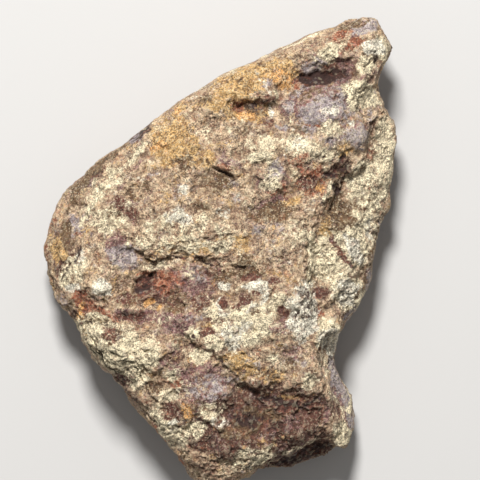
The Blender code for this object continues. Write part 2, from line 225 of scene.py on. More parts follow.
# The finishes' patches on the face: a name and an ellipse
PATCHES = {}
# 'band under the brow', 'scoop under the lip' and 'plateau corner' are painted shade below those
# ledges
PATCHES["umber"] = (
    ("fold zone", -12.6, -7.6, 6, 4, 0.8),
    ("lobe zone", -31, -1.6, 2.6, 5.4, 0.8),
    ("top right hollow", 20, 34.8, 4.4, 2.4, 0.6, 15),
    ("dark rim", -16.2, 23, 3, 1.3, 1, 42),
    ("lower left zone", -5.4, -23.6, 8, 5, 0.42, -25),
    ("upper right zone", 21, 32, 8.6, 7.4, 0.55, 20),
    ("right of the flake", 9, 13, 5, 2.2, 0.2),
    ("foot zone", 7.6, -35, 17, 8.6, 0.85),
    ("band under the brow", 4.6, 27.2, 3.4, 0.8, 0.8),
    ("under the facet", 8, -24.2, 5.4, 1.3, 0.6, -10),
    ("hollow below the terrace", -5, -6.6, 7.8, 2.8, 0.62),
    ("maroon spot", 6, -5.5, 2.2, 1.2, 0.9, 10),
    ("maroon spot, left", 0.9, -10.9, 0.9, 1.3, 0.95),
    ("plateau pit", 12.3, -12.7, 1.4, 1.4, 0.95),
    ("brown foot", 9, -32.6, 15, 6.4, 1),
    ("brown foot, lower left", -1.4, -41.4, 4.4, 4, 0.4),
    ("scoop under the lip", 16, -41, 7, 2.2, 0.9, 15),
    ("shelf hollow", 20.2, -8.5, 2.1, 1.2, 0.95),
    ("plateau corner", 23.8, 14.9, 3, 1.5, 0.6, 10),
    ("lower left mottling", -9, -21.6, 2.2, 2.6, 0.6),
    ("fold", -15.6, -8, 2.6, 2.8, 0.7),
    ("left rim", -24.6, 15.6, 2.6, 1.4, 1, 45),
    ("right rim", 30.4, 24.7, 1.3, 1.4, 0.6),
    ("right of the foot", 20.4, -30.6, 3.6, 2.4, 0.6),
    ("left lobe", -31, -4.4, 1.7, 2.6, 0.6),
    ("left of the pale block", -29.4, -13, 1.4, 1.6, 0.6),
    ("rim below the lobe", -18, -28.4, 3, 1.4, 0.6, -45),
)
PATCHES["plum"] = (
    ("upper right zone", 22.4, 33.4, 9, 8, 0.6, 25),
    ("zone under the terrace", -6.4, -6.2, 9, 3.4, 0.62),
    ("lower left zone", -5, -24, 8, 6, 0.6, -20),
    ("foot zone", 8, -35, 16, 8, 0.3),
    ("right of the flake", 10.4, 13.8, 4.4, 2.4, 0.5, 10),
    ("over the nodule", 26, 27, 3.4, 4.4, 0.5),
    ("below the bloom", 14.2, 28, 3.2, 3, 0.75),
    ("left of the terrace", -20.2, 0.6, 3, 3.6, 0.8),
    ("rose patch", -18, 7.4, 3, 2.8, 0.5),
    ("upper right lilac", 19.6, 31, 5, 2.1, 0.8),
    ("top right hollow", 22.4, 36, 5.4, 2.4, 0.55, 12),
    ("under the terrace", -2.4, -3.6, 4.4, 1, 0.6, -8),
    ("slope under the terrace", -9.6, -3.8, 5, 2, 0.5),
    ("below the centre scarp", -3.2, -27, 6.4, 4.8, 0.6),
    ("band above the shelf scarp", 10.8, 9.7, 4.2, 1.3, 0.75, 12),
    ("patch on the left face", -20.4, 8.4, 2.6, 2.4, 0.8),
    ("mauve patch on the pale block", -22, -16.2, 2.4, 1.9, 0.7),
    ("centre lilac", 12.1, -15.4, 3, 1.6, 0.8),
    ("flake", 2.3, 17.4, 3.4, 1.1, 0.75, -15),
    ("brown foot", 17, -32.4, 7.6, 5, 0.4),
    ("left of the centre", -8.5, -14.4, 4, 3, 0.9),
    ("above the pale block", -17, -12.9, 4.4, 1.5, 1, 5),
    ("left bevel", -26, 13.2, 1.4, 1, 0.6),
    ("corner streak", 27, 42.4, 1.6, 0.9, 0.8, 30),
    ("middle of the foot", 6, -33, 8, 3.4, 0.4),
    ("plateau's right", 14.4, -20.6, 4, 2.6, 0.4),
)
PATCHES["slate"] = (
    ("upper right zone", 21.4, 27, 11, 9, 0.5),
    ("right of the terrace", 10, 3.6, 4.6, 3.2, 0.42),
    ("left zone", -29, 5, 3, 3.4, 0.5),
    ("left of the terrace", -19, -1.4, 3.6, 2.8, 0.85),
    ("over the tan facet", 5, -21.6, 4.6, 1.8, 0.42, -20),
    ("plateau's lower right", 15.6, -22.6, 3.2, 2.2, 0.5),
    ("left of the plateau", -5.4, -12.6, 3, 2.4, 0.45),
    ("below the terrace", -3.4, -4.6, 3.6, 2.2, 0.5),
    ("upper right smooth patch", 20.4, 27.6, 5.2, 3, 1),
    ("nodule", 27.4, 22.6, 2.4, 3.4, 0.7, 8),
    ("dark patch over the scarp", 11, 15.6, 1.8, 2.5, 0.9),
    ("corner", 28.4, 44.2, 2.9, 1.6, 1.3, 15),
    ("top right hollow", 18.9, 36.2, 2.8, 1.9, 0.9, 20),
    ("left lobe", -30, 3.3, 2.2, 1.5, 0.4, 40),
    ("left lobe, lower", -29.1, 0.6, 1.2, 1.6, 0.4),
    ("below the centre scarp", -3, -27.2, 5, 3.4, 0.55),
    ("under the flake", 1.4, 13.3, 2.7, 1.1, 0.9, -8),
    ("by the flake", -0.6, 18, 1.6, 0.8, 0.5),
    ("left rim", -16.4, 22.6, 2.6, 1.2, 0.8, 40),
    ("rib", 8.6, 33.6, 1.7, 2.6, 0.95, -25),
    ("left edge below the lobe", -31.6, -10, 1.2, 2.2, 0.6, 30),
)
PATCHES["ochre"] = (
    ("over the bloom", 12, 35, 4, 2.8, 0.95),
    ("brow's face", 4.4, 31.2, 4.4, 1.4, 1, 8),
    ("upper left", -9.2, 21.4, 5.4, 4.8, 1, 30),
    ("upper block", 4.6, 33.4, 7, 3.4, 0.9, 25),
    ("left of the upper block", -1.4, 29, 3.2, 2, 0.7, 20),
    ("left lobe", -32, -0.2, 1.6, 2.8, 1),
    ("upper left rim", -8, 28, 5, 1.6, 0.5, 32),
    ("left of the rose patch", -24.4, 2.8, 3.8, 1.9, 0.25),
    ("under the brow", 5, 28, 5.4, 3, 0.9),
    ("shelf", 22.6, 3.6, 3.2, 4.4, 0.8),
    ("foot streak", 4.6, -41, 1.1, 2.2, 0.9),
    ("foot, upper right", 14.6, -30.4, 3.6, 1.8, 0.6, -20),
    ("foot, lower", 9.4, -38.4, 3.4, 2, 0.35, 10),
    ("facet above the foot", 4.6, -22.4, 4.2, 2.6, 0.8, -30),
    ("facet, right", 9.6, -25, 4, 1.8, 0.6),
    ("left of the flake", -4, 17.8, 3.6, 2.6, 0.6),
    ("over the scarp", 14, 9.4, 3.6, 1.3, 0.6, 20),
    ("terrace edge", -6, 0.4, 9, 1.8, 0.7),
    ("plateau corner", 24.6, 19.6, 1.8, 1.4, 0.6),
    ("right of the terrace", 2, 1, 6, 3, 0.5),
    ("left face", -7, 10.4, 7, 4.4, 0.35),
    ("pale block", -24, -16.6, 5, 3, 0.9, -30),
)
PATCHES["orange"] = (
    ("upper bloom", 12.2, 34, 2.9, 2.1, 0.9, -25),
    ("spot in the upper hollow", 5, 26.6, 2.2, 1.2, 1),
    ("left spot", -8.6, 27.5, 1.1, 0.7, 0.9),
    ("spot by the seam", -12, 20.4, 1.9, 1, 0.8, 10),
    ("foot grain", -6.7, -32.2, 1, 1.9, 1, 15),
    ("under the centre scarp", -4.9, -21.7, 2.2, 0.9, 0.8),
    ("orange flake", -14, -10, 1.5, 0.7, 0.95, 30),
    ("gold grain", -12.2, -11.4, 0.8, 1, 0.9),
    ("over the plateau corner", 18.8, 13.2, 2.2, 1.2, 0.9, -20),
    ("rusty lobe", -27.6, -12.2, 1.2, 2.2, 0.7, 10),
    ("terrace spot", -8, 1.8, 0.9, 0.7, 0.7),
)
PATCHES["rust"] = (
    ("over the scarp, left", 18.6, 13.6, 3.2, 3, 0.9),
    ("red of the bloom", 15, 32.9, 1, 1.8, 0.85),
    ("fold zone", -10.6, -6.6, 3.8, 3.4, 0.6),
    ("under the brow", 5.4, 28.6, 4, 1.8, 0.66),
    ("top corner", 24.4, 43, 2.2, 1.2, 0.85, 25),
    ("right of the grey patch", 15.4, 17.6, 2.6, 1.4, 0.75),
    ("zone over the scarp", 14, 12.2, 6, 2, 0.5, 10),
    ("top corner, lower", 26.6, 40.8, 2.4, 1.3, 0.95, 20),
    ("rusty lobe", -27.6, -10.6, 1.7, 3, 1, 15),
    ("centre spot", 10.5, -6.4, 1.2, 0.8, 0.75),
    ("flake", 0.8, 16.4, 2.2, 0.8, 0.8, -22),
    ("pale block", -21.4, -17.4, 1.8, 1.5, 0.75),
    ("fold", -11.4, -7, 2.4, 2, 0.8, -30),
    ("beside the bloom", 14.9, 32.2, 0.7, 1, 0.8),
    ("brown foot", 2, -35, 6, 2.2, 0.35),
    ("below the pale block", -15.6, -22, 1.4, 1.4, 0.7),
    ("lower left", -9, -26.4, 1.4, 2.4, 0.8),
    ("left lobe", -27.6, 3.6, 1.4, 0.8, 0.5, 20),
)
PATCHES["cream"] = (
    ("left of the terrace", -21.4, 6.6, 5.6, 3.2, 0.7, 20),
    ("right shelf", 26, 2, 9, 6, 0.75, 65),
    ("band along the bevel", -22, 13.4, 9, 2.2, 0.6, 48),
    ("middle of the left face", -6, 4.4, 12.5, 4.6, 0.46, -5),
    ("left plateau", -28.6, -3, 2.4, 2.4, 0.8),
    ("pale block", -21.8, -18.4, 8, 4.4, 0.9, -28),
    ("pale block's crest", -17.4, -19, 1.9, 3.8, 0.9, 10),
    ("bright plateau", 5.4, -14.6, 7, 4.8, 0.9, 30),
    ("bright plateau's tongue", -1.3, -18.2, 2, 2, 1),
    ("plateau's upper left", -0.8, -12.4, 2.6, 2.8, 0.6),
    ("lump under the plateau", 10.2, -21.2, 1.6, 1, 0.85),
    ("under the centre scarp", -4.4, -21, 2.4, 1.8, 0.7),
    ("lower left grains", -10, -28.8, 2.5, 1.6, 0.85),
    ("lower left grains, lower", -12.7, -31.2, 1.4, 1, 0.7),
    ("upper shelf", 29.4, 12, 4.6, 6, 0.8),
    ("middle shelf", 20.8, -1.6, 3.4, 5.2, 0.9),
    ("lower shelf", 25.6, -8.6, 3.4, 3.6, 1.2, 30),
    # Painted light: lifts the shelf's tail, which the key light leaves in shade
    ("shelf's tail", 21.8, -16.8, 3, 3.6, 1, 5),
    ("corner bead", 28.8, 36.8, 2.2, 2.4, 0.8),
    ("shoulder bead", 28, 30.6, 3.8, 3.2, 1),
    ("foot tooth", 24.4, -36.6, 2.4, 3.4, 0.8),
    ("stripe under the rusty crack", -24.2, -13, 2.3, 0.8, 0.95, -15),
    ("upper left edge", -12.6, 24.6, 3, 1.4, 0.4, 35),
    ("below the upper block", 0.6, 24.4, 6, 2.6, 0.35, 10),
    ("above the scarp", 15.6, 3, 3, 4.8, 0.55),
    ("right edge", 32.8, 18.6, 2.4, 9, 0.95),
    ("nub", 32.2, 40, 2.2, 3, 0.9),
    # Painted light: lifts the terrace's step, which faces away from the key light
    ("over the terrace", -8, 1.2, 13, 2.2, 0.66),
    ("below the terrace", -11.4, -2.8, 5, 1.2, 0.5),
    ("slope right of the flake", 8, 19.2, 4.4, 3.8, 0.6, 10),
    ("white patch over the scarp", 16, 20.9, 4.6, 2.2, 0.75),
    ("beside the white patch", 21.4, 19, 3.4, 2.6, 0.7),
    # Painted light: lifts the pale block's lower edge, which slopes away from the key light
    ("pale block, lower edge", -19.6, -22.4, 7, 3, 1.2, -42),
    ("lower left edge", -10, -35.6, 6.4, 2.4, 0.8, -52),
    ("under the pit", 12, -10, 3.2, 2, 0.6),
    ("above the lip", 6.6, -41, 5.4, 2.2, 0.62, 10),
    ("side wall", 25.4, -32, 1.6, 4.4, 0.5, 10),
    ("centre scarp", -5.4, -16.4, 2.2, 1.8, 0.7),
    ("terrace, left", -13, 3.6, 4, 2.6, 0.5),
    ("rose patch's rim", -22.4, 4.6, 2.6, 1, 0.6, -20),
    ("terrace, right", -1, 1, 3.8, 1.7, 0.85),
    ("middle of the bloom", 13.4, 34.2, 1.8, 1.2, 0.5),
    ("foot, lower left", -5.4, -35.8, 3, 1.8, 0.75),
    ("left of the plateau", -12.4, -14, 3, 1.6, 0.5, 10),
    ("right of the flake", 10, 14, 2.4, 3, 0.6),
    ("right of the foot", 18, -26, 2.4, 2, 0.5),
    ("tan slope under the terrace", -6.2, -4.8, 1.8, 2.8, 0.62, 10),
    ("below the top edge", 21.4, 38.8, 4, 1.8, 0.85, 24),
    ("above the orange grain", -1.6, -32.4, 2.6, 2.4, 0.6, 20),
    ("left of the centre scarp", -9.4, -18.6, 2.4, 2.2, 0.5),
    ("left of the centre scarp, lower", -9.2, -24.4, 2.4, 2, 0.6),
    ("beside the nodule", 22.4, 24, 3, 1.8, 0.6),
    ("below the centre scarp", -7, -27, 2.6, 1.8, 0.5),
    ("beside the pale block", -14.2, -20.8, 3, 3.2, 1),
    ("left edge", -30, -5.4, 2.8, 2.2, 0.7),
    ("side wall ridge", 20.6, -22.4, 1.2, 3.2, 0.6, 8),
)
PATCHES["chalk"] = (
    ("white patch over the scarp", 15.6, 20.4, 4.2, 2, 0.36),
    ("speckle left of the centre", -8.2, 6.8, 2.7, 2.3, 0.75),
    ("speckle, centre", 0.6, 7.3, 1.3, 1.3, 0.7),
    ("speckle, upper", -7.4, 12.4, 1.1, 1, 0.7),
    ("left white grain", -23.3, -7.4, 2.2, 1.5, 1),
    ("small left grain", -29.2, -7.6, 1.1, 1, 0.85),
    ("round white grain", 1.2, -7.2, 1.3, 1.1, 1.15),
    ("white network", 7, -7.6, 3.4, 1.4, 0.55, -8),
    ("network below", 3, -16.6, 4.4, 3, 0.5, 40),
    ("grey-white strip", 16.4, -12, 3.4, 6.2, 0.9),
    ("top of the nodule", 25.8, 25.2, 0.9, 0.7, 0.9),
    # Painted light: lifts the shelf's tail, which the key light leaves in shade
    ("shelf's tail", 22.2, -18.2, 2.6, 3, 1, 5),
    ("lower shelf", 25.6, -8.4, 2.8, 2.6, 1.1, 30),
    ("shelf", 27, -0.4, 1.6, 2.9, 1, 20),
    ("shelf's rim", 29.6, 4.8, 1.4, 2.4, 0.5),
    ("foot spot", -0.4, -33.9, 2.2, 1.4, 0.48),
    ("white sliver", -9.3, -34.2, 1.3, 0.7, 1, 15),
    ("corner", 30.6, 40.6, 2.4, 2, 0.8),
    ("smooth patch", 21.6, 27.4, 2, 1.1, 0.7),
    ("left plateau", -28, -1.6, 1.3, 1.3, 0.6),
    ("pale stone by the fold", -8.6, -28, 1, 1, 0.5),
)
# 'olive shade' and the patches under the plateau corner, the brow and under and below the flake
# are painted shade below scarps and ledges; the rest are stain
PATCHES["bister"] = (
    ("olive shade", 23.6, 7.6, 4.4, 4.2, 0.78),
    ("upper left face", -15.8, 11.8, 3.2, 2.6, 0.5, 20),
    ("left lobe", -30.2, 2.4, 2.4, 3, 0.7),
    ("right of the terrace's end", 6.4, -3.4, 4.2, 2.4, 0.66),
    ("below the slate zone", 19.4, 30.8, 3.4, 1.4, 0.6),
    ("over the chalk", -3.6, 8.6, 3.2, 1.4, 0.5),
    ("right of the strip", 7.8, -12, 3, 1.5, 0.6),
    ("upper left, lower", -7, 17.4, 5, 2, 0.5),
    ("left face", -21, 7.2, 2.6, 1.6, 0.5),
    ("right of the shelf's corner", 31.4, 18.4, 1.8, 2.2, 0.55),
    ("right of the terrace", 5.4, -2.2, 3.6, 1.6, 0.55, -8),
    ("under the flake", 3.4, 13.4, 2.6, 1.4, 0.5),
    ("shelf, right", 28.6, 9, 2.4, 2, 0.5),
    ("middle of the scarp", 18, 12.8, 2.6, 2, 0.5),
    ("olive shade, upper", 24.2, 11, 1.8, 2.2, 0.62),
    ("under the plateau corner", 23.4, 14.6, 3.4, 1.5, 0.66, 10),
    ("left of the brow", -4, 29.2, 4.4, 1.5, 0.6, 30),
    ("corner of the top edge", 26.4, 44.8, 4, 1.1, 0.6, 20),
    ("under the brow", 7.4, 28, 3.8, 2, 0.7, 4),
    ("below the upper hollow", 4.2, 24.2, 2.2, 2.6, 0.5),
    ("left of the network", -4.4, -10.4, 2.4, 2.6, 0.6),
    ("below the network", 2.6, -11.8, 3.2, 1.4, 0.45, 30),
    ("over the network", 0.4, -4.7, 4.4, 2.1, 0.7),
    ("right of the fold", -8.6, -10.2, 3.2, 2.4, 0.75),
    ("left of the fold", -18, -8.8, 2.8, 2.4, 0.75),
    ("on the pale block", -21.4, -16.8, 2.6, 2.2, 0.62, 10),
    ("over the scarp", 10.2, 7.2, 5, 2.2, 0.85, 8),
    ("left of the flake", -1, 13, 5, 2.6, 0.66),
    ("below the flake", 2, 14.2, 3.6, 1.5, 0.55, -15),
    ("foot, left part", 5, -34.6, 5.6, 2.6, 0.78, 20),
    ("foot, middle", 8, -32.4, 6, 2.2, 0.7, -5),
    ("under the facet", 8, -24.6, 5.4, 1.4, 0.55, -10),
    ("plateau's lower right", 15.2, -22.4, 3.4, 1.6, 0.55),
    ("lower left rim", -13, -27, 2.8, 1.5, 0.6),
    ("above the orange grain", -6, -31.2, 4.8, 1.2, 0.55),
    ("below the corner boss", 27.2, 34.6, 1.8, 1.4, 0.6),
)
# 'under the brow' and 'plateau corner' are painted shade below those ledges
PATCHES["maroon"] = (
    ("over the network", 5.8, -5.5, 2.2, 1.1, 0.9, 8),
    ("right of the network", 10.5, -6.3, 1.3, 0.8, 0.9),
    ("network's hole, upper", 7.5, -8.6, 0.9, 0.7, 1),
    ("network's hole, middle", 5, -10, 1.8, 0.8, 1, 12),
    ("network's hole, lower", 3.2, -11.4, 1.5, 0.6, 0.9, 40),
    ("network's hole, left", 0.9, -10.7, 0.8, 1.2, 0.95),
    ("plateau pit", 12.4, -12.6, 1.5, 1.3, 0.95),
    ("plateau's left side", -2.3, -16.2, 1.9, 1, 0.85, 20),
    ("plateau's left side, upper", -2.2, -13.4, 1.8, 0.7, 0.6),
    ("left of the plateau", -4.2, -10, 1.9, 2.6, 0.75),
    ("fold", -14.6, -7.4, 2.6, 2.6, 0.7),
    ("fold, right", -8.6, -9.6, 2.2, 1.8, 0.6),
    ("fold, left", -19, -9.6, 2.4, 1.6, 0.6),
    ("under the fold", -16.8, -12.9, 4.2, 1.3, 0.8, 5),
    ("edge pit", -19.4, -25.8, 2.8, 1.4, 0.8, -15),
    ("left of the orange grain", -9.6, -32, 2, 1.6, 0.8),
    ("plateau's upper left", 1, -14.2, 2.4, 1.4, 0.6),
    ("on the pale block", -21.6, -16.6, 2, 1.6, 0.66, 10),
    ("below the terrace", -0.6, -4.4, 3.6, 1.2, 0.55, -6),
    ("under the brow", 8.6, 29.4, 2.8, 1.1, 0.6, 4),
    ("top right hollow", 22.4, 35.4, 3.2, 1.8, 0.7, 10),
    ("over the scarp, left", 17.8, 13.4, 3, 1.8, 0.6),
    ("plateau corner", 23.6, 16.6, 2.8, 1.5, 0.6, 20),
    ("right of the foot", 15.8, -31.2, 6, 2.4, 0.55),
    ("shelf hollow", 19.9, -8.4, 1.9, 0.9, 0.8),
    ("shelf, lower", 26.2, -4.6, 1.4, 1.2, 0.55),
)
# Near black patches: real black in the pits, and painted shadow under the plateau corner, the nub,
# the brow, the scoop and the foot lip
PATCHES["black_and_shadow"] = (
    ("speckle in the strip", 16.6, -12, 3.2, 5.6, 0.44),
    ("plateau corner, upper", 24.2, 18.4, 0.9, 0.7, 1),
    ("hollow's black", 18.6, 34.1, 3.6, 1.9, 0.95, 5),
    ("pit in the fold", -15.8, -8, 0.8, 0.9, 1),
    ("second pit in the fold", -13.8, -5.1, 0.9, 0.7, 0.9, 30),
    ("scarp's black pit", -5.6, -17, 0.5, 0.7, 0.9),
    ("edge pit", -19, -26, 1.4, 1, 0.6, -20),
    ("under the plateau corner", 22.2, 14.9, 1.7, 0.8, 1),
    ("hollow's black streak", 18, 34.4, 1.8, 0.9, 0.9, 15),
    ("hollow's red streak", 22.4, 34, 1.3, 0.5, 0.9),
    ("below the nub", 30.9, 37.8, 0.9, 1.5, 0.5, 20),
    ("left rim", -17.4, 22, 1.2, 0.8, 0.9, 40),
    ("olive shade on the shelf", 23, 12, 1, 1.2, 0.8),
    ("scoop", 17, -40.6, 5.6, 1.4, 0.7, 18),
    ("middle of the foot", 6.2, -33.8, 4.6, 2, 0.6, -5),
    ("top right hollow", 22.6, 35, 4.2, 2, 0.55, 10),
    ("under the brow", 8, 28.6, 3.6, 1.2, 0.55, 5),
    ("fold", -14.4, -7, 2.4, 2, 0.5),
    ("above the pale block", -17, -12.8, 3.6, 1, 0.5, 5),
    ("plateau corner", 24, 15.6, 2.8, 1.2, 0.55, 10),
    ("dark rim", -15.4, 23.4, 2.4, 1.1, 0.6, 42),
)

# Their streaks: a name, the line, its half width and its strength
STREAKS = {}
STREAKS["bister"] = (
    ("top edge", ((-7, 28.6), (0.6, 32.8), (8.4, 36.6), (15.6, 40), (22.6, 43)), 1.4, 0.42),
    ("right rim", ((32.2, 6.6), (30.6, -0.6), (28.9, -6), (25.4, -12.6)), 1.1, 0.6),
    ("left bevel", ((-17.4, 22.6), (-22.8, 17.8), (-28.2, 12.6), (-30.8, 6.8), (-29.8, 1.2)),
     1.4, 0.75),
)
STREAKS["umber"] = (
    ("under the orange spot", ((6.2, 26.4), (8.4, 25.4), (10.6, 26.2)), 0.8, 0.9),
    ("crease left of the plateau", ((-2.6, -6.4), (-1.4, -10), (-2.4, -14)), 1.2, 0.7),
)
STREAKS["chalk"] = (
    ("rib", ((7, 35.4), (8.8, 33), (10, 29.8), (10.6, 26.6)), 0.8, 0.62),
    ("network, upper arc", ((4.2, -7.7), (6, -6.9), (7.5, -6.2), (9, -6.7), (9.8, -8.3)),
     0.65, 1.1),
    ("network, middle", ((5.4, -7.2), (7, -7.5), (8.6, -7.8)), 0.5, 1),
    ("network, lower arc", ((9.8, -8.3), (8.7, -9.6), (7, -10.6), (5.4, -12)), 0.6, 0.9),
    ("network, left", ((0.2, -9.4), (-0.8, -10.6), (0.4, -12.4), (2.2, -12.8)), 0.6, 0.8),
    ("shelf", ((24.4, 2.8), (26.6, 0.4), (28.2, -2)), 1, 0.9),
)
STREAKS["maroon"] = (
    ("across the shelf", ((21.6, 4), (23.4, 0.8), (25.8, -3.2)), 0.65, 0.8),
    ("fold's crease", ((-17.4, -5.6), (-15, -7.4), (-12.2, -9.6)), 0.7, 0.8),
    ("left face", ((-20.6, 10.4), (-18.6, 8.2), (-16, 5)), 1.9, 0.66),
)
STREAKS["cream"] = (
    ("left bevel", ((-14.6, 21), (-20.4, 15.4), (-25.4, 9.6), (-27.8, 5.4)), 1.3, 0.85),
    ("shelf's second streak", ((22.6, -4.6), (24.6, -6.6), (26.4, -8.2)), 1.1, 1),
    ("shelf's smooth block", ((19.6, 3.2), (20.6, 0.2), (21.8, -3)), 1.6, 1),
    ("rib's foot", ((10.6, 31.4), (10.9, 30.2), (10.8, 28.8)), 0.5, 0.9),
    ("below the plateau corner", ((28.6, 17.6), (26.8, 15.6), (25, 13.8)), 1, 0.9),
    ("ridge below the corner", ((22.4, 13.2), (21.4, 11.6), (20.8, 9.6)), 0.7, 0.9),
    ("right foot rim", ((22, -18), (25.2, -27), (27.4, -34)), 0.5, 0.7),
    # Painted highlight: a thin pale rim of light along the top edge and the top left edge
    ("top edge", ((-5.6, 31.2), (0, 34.5), (7.8, 38.3), (15, 41.7), (21.9, 44.7)), 0.5, 0.8),
    ("top left edge", ((-25.7, 15.6), (-20, 20.2), (-13.8, 24.8)), 0.6, 0.5),
    ("shelf ridge", ((18.2, 3.6), (17.6, -1), (17.6, -6.2), (17.9, -9.6)), 0.5, 1),
    ("foot lip", ((8, -42.8), (12, -41.4), (15.8, -39.2), (19.4, -37.6)), 0.5, 0.55),
    ("right foot ridge", ((22.2, -28), (24, -32), (25.4, -36)), 0.6, 0.6),
    ("edge pit's rim", ((-16.8, -27.2), (-15.2, -26), (-14.2, -24.8)), 0.5, 0.7),
)
STREAKS["rust"] = (
    ("across the shelf", ((28.8, 12.4), (31, 12.2), (33.6, 12.8)), 0.8, 0.7),
    ("thin crack over the white patch", ((14.8, 25.4), (18, 25), (21, 24), (24.2, 24.8)),
     0.5, 0.8),
    ("fold", ((-16.5, -5), (-14, -4.4), (-11, -5.2), (-9, -7.6), (-8.6, -10)), 1.2, 0.75),
    ("rusty crack", ((-28, -9.5), (-25, -11), (-22, -13), (-19.5, -14)), 1, 0.8),
    ("shelf groove", ((18.4, -9), (19.2, -12), (20.5, -14.8), (20.2, -18)), 0.7, 0.9),
    ("right of the nodule", ((29.6, 21.6), (30.4, 19), (30.2, 16.8)), 0.8, 0.7),
    ("shelf", ((22.4, 2.6), (24.6, -0.4), (26, -3.6)), 0.8, 0.6),
    ("lower left rim", ((-15, -33.6), (-12.4, -37), (-8, -42.2), (-6.8, -45)), 0.8, 0.8),
    ("left rim", ((-35, -3), (-34.4, 3), (-31.6, 9.8)), 0.8, 0.5),
)
STREAKS["plum"] = (
    ("side wall", ((21.8, -19.6), (22.6, -24.6), (24.4, -29), (26.2, -34.6)), 1.6, 0.9),
    ("seam", ((-14, 19.6), (-17.6, 15.2), (-21, 10.8)), 0.8, 0.5),
)
STREAKS["slate"] = (
    ("crack below the bloom", ((10.8, 25), (12.6, 24.2), (14.4, 23.8)), 0.7, 0.9),
    ("right rim", ((32.6, 7), (30.8, -0.6), (29, -8.6), (25, -14)), 1.3, 0.75),
    ("side wall", ((22.2, -21), (22.8, -25), (25, -29.6), (26.4, -35)), 1.4, 1),
)
# Near black lines: painted shadow under the lifted flake, the terrace and the foot lip, and at the
# foot of the centre scarp
STREAKS["black_and_shadow"] = (
    ("under the lifted flake", ((-1.5, 16.2), (0.8, 15.2), (3.5, 13.9)), 0.45, 1.1),
    ("under the terrace", ((-16, -1), (-12, -1.7), (-8, -1.4), (-4.8, -1.2),
                           (-3.6, -2.2), (0.8, -2.7)), 0.35, 0.7),
    ("foot of the centre scarp", ((-5.4, -17.4), (-1, -20.9), (1.2, -22.8), (3, -26),
                                  (4.4, -27.2)), 0.5, 0.5),
    ("brown band", ((6.6, -28.8), (12, -29.9), (17, -30.8), (20, -29.6)), 0.9, 0.75),
    ("under the foot lip", ((9.2, -43.6), (12, -42.6), (15.8, -40.5), (18.8, -38.8),
                            (21.6, -38.8), (22.8, -39.8)), 0.7, 0.95),
    ("left crust edge", ((-27.6, 1), (-28.3, -1.4), (-30.1, -3.8), (-31.9, -5.8)), 0.5, 0.7),
    ("crease over the pale block", ((-28.4, -14.9), (-24.8, -14.3), (-21.4, -15)), 0.5, 0.7),
)

# How the finishes lie over one another, from the first to the last, with the weight that
# each has everywhere on the face and on the unseen back and sides
LAYERS = (
    ("umber", 0.22, 0.62), ("plum", 0.24, 0.40), ("slate", 0.24, 0.22), ("ochre", 0.33, 0.34),
    ("rust", 0.20, 0.30), ("orange", 0.10, 0.10), ("cream", 0.28, 0.20), ("chalk", 0.16, 0.08),
    ("bister", 0.20, 0.16), ("maroon", 0.16, 0.16), ("black_and_shadow", 0.12, 0.12),
)


def srgb(red, green, blue):
    """A colour of 0 to 255 a channel, as the linear values that shading uses."""
    return tuple(((channel / 255.0 + 0.055) / 1.055) ** 2.4 if channel > 10
                 else channel / 255.0 / 12.92 for channel in (red, green, blue))


def colour(name, description, default):
    return FloatVectorProperty(name=name, description=description, default=default,
                               subtype="COLOR", size=3, min=0.0, max=1.0)


def length(name, description, default):
    return FloatProperty(name=name, description=description, default=default,
                         subtype="DISTANCE", unit="LENGTH", min=0.0)


class MeteoriteRelief(bpy.types.PropertyGroup):
    """How rough the broken surface is."""

    ledge_size: length("Ledge size", "Spacing of the broken ledges", 4.2 * MM)
    ledge_height: length("Ledge height", "Drop from each ledge to the next", 0.24 * MM)
    facet_size: length("Facet size", "Width of the broken facets", 2.6 * MM)
    facet_height: length("Facet height", "How far a facet's corners stand out", 0.46 * MM)
    lump_size: length("Lump size", "Width of the low swellings", 2.2 * MM)
    lump_height: length("Lump height", "How far the swellings rise and fall", 0.30 * MM)
    chip_size: length("Chip size", "Width of the broken chips", 1.25 * MM)
    chip_height: length("Chip height", "Depth of the gaps between chips", 0.34 * MM)
    grain_size: length("Grain size", "Width of the mineral grains", 0.65 * MM)
    grain_height: length("Grain height", "How far the grains stand out", 0.30 * MM)


class MeteoritePalette(bpy.types.PropertyGroup):
    """The colours of the weathered crust and its minerals."""

    sand: colour("Sand", "The ground between all the others", srgb(209, 181, 147))
    loam: colour("Loam", "The darker ground", srgb(157, 123, 99))
    umber: colour("Umber", "Dark brown weathering", srgb(94, 58, 46))
    plum: colour("Plum", "Purple-brown stain", srgb(142, 104, 100))
    slate: colour("Slate", "Blue-grey smooth patches", srgb(168, 155, 154))
    ochre: colour("Ochre", "Yellow-brown weathering", srgb(208, 167, 108))
    rust: colour("Rust", "Red-brown iron stain", srgb(164, 98, 70))
    orange: colour("Orange", "Bright iron bloom", srgb(230, 172, 104))
    cream: colour("Cream", "Pale yellow crust", srgb(247, 231, 194))
    chalk: colour("Chalk", "Grey-white grains", srgb(244, 236, 214))
    bister: colour("Bister", "Olive-brown stain over the crust", srgb(112, 86, 58))
    maroon: colour("Maroon", "Red-brown stain in the small pits", srgb(108, 64, 52))
    # Painted shadow as well as real black: this near black lies in pits, in the slit under the
    # lifted flake, under the terrace, the lips and the plateau corner, and in the fine relief's
    # hollows
    black_and_shadow: colour("Soot", "Near black in pits and cracks", srgb(56, 34, 28))


